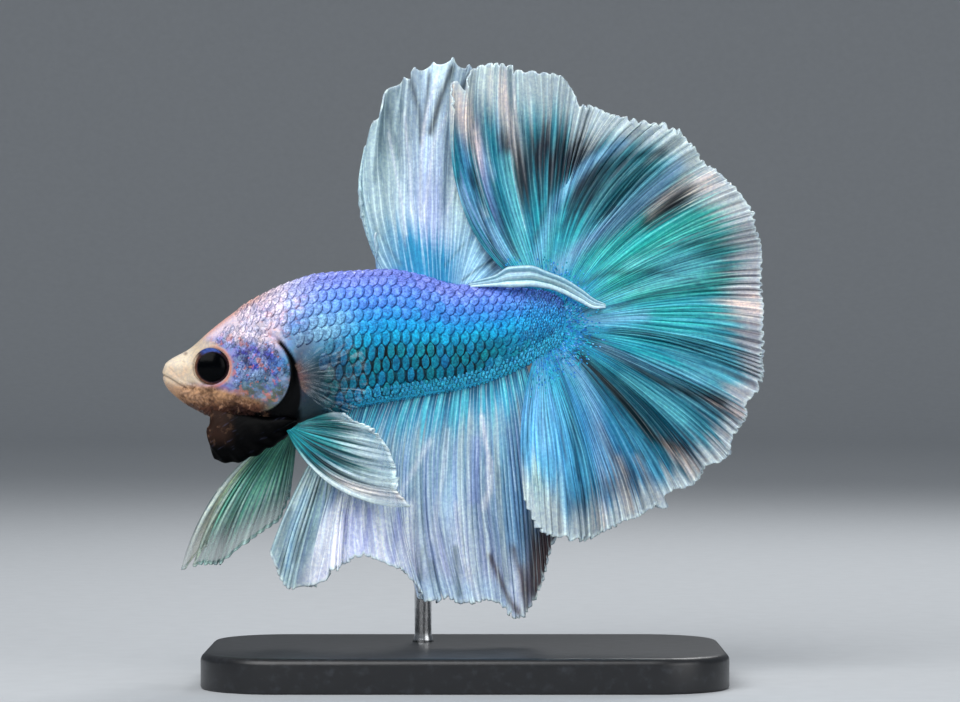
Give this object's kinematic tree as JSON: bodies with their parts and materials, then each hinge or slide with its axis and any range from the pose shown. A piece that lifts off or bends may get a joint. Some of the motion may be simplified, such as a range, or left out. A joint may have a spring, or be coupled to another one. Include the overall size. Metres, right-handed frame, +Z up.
{
  "type": "halfmoon betta fish display model",
  "caption": "Life-size halfmoon betta fish with spread, pleated fins, held over a flat base by a slim leaning rod.",
  "frame": {"origin": "centre of the underside of the stand's base", "axes": "+Z up, snout towards -X, the fish's left side towards -Y"},
  "size_m": [0.07, 0.036, 0.0716],
  "materials": {
    "skin_head": "pale peach skin, lavender cheek, painted and varnished",
    "skin_jaw": "tan and brown skin, varnished",
    "skin_body": "blue metallic scales, varnished",
    "eye": "dark polished glass",
    "gill_cover": "lavender and blue skin, varnished",
    "gill_membrane": "near-black thin skin",
    "fin_tail": "turquoise pleated membrane with a pale rim",
    "fin_dorsal": "pale blue pleated membrane",
    "fin_anal": "blue and lavender pleated membrane",
    "fin_pelvic": "teal membrane with a white leading ray",
    "fin_pectoral": "thin clear membrane",
    "stand_base": "black satin acrylic",
    "stand_rod": "fine brushed steel"
  },
  "bodies": {
    "root": {"head": "skin_head", "lower_jaw": "skin_jaw", "trunk_front": "skin_body", "trunk_middle": "skin_body", "trunk_rear": "skin_body", "tail_root": "skin_body", "eye_left": "eye", "eye_right": "eye", "gill_cover_left": "gill_cover", "gill_cover_right": "gill_cover", "gill_membrane_left": "gill_membrane", "gill_membrane_right": "gill_membrane", "caudal_fin": "fin_tail", "dorsal_fin": "fin_dorsal", "dorsal_fin_last_rays": "fin_dorsal", "anal_fin": "fin_anal", "pelvic_fin_left": "fin_pelvic", "pelvic_fin_right": "fin_pelvic", "pectoral_fin_left": "fin_pectoral", "pectoral_fin_right": "fin_pectoral", "stand_base": "stand_base", "stand_rod": "stand_rod"}
  },
  "joints": []
}
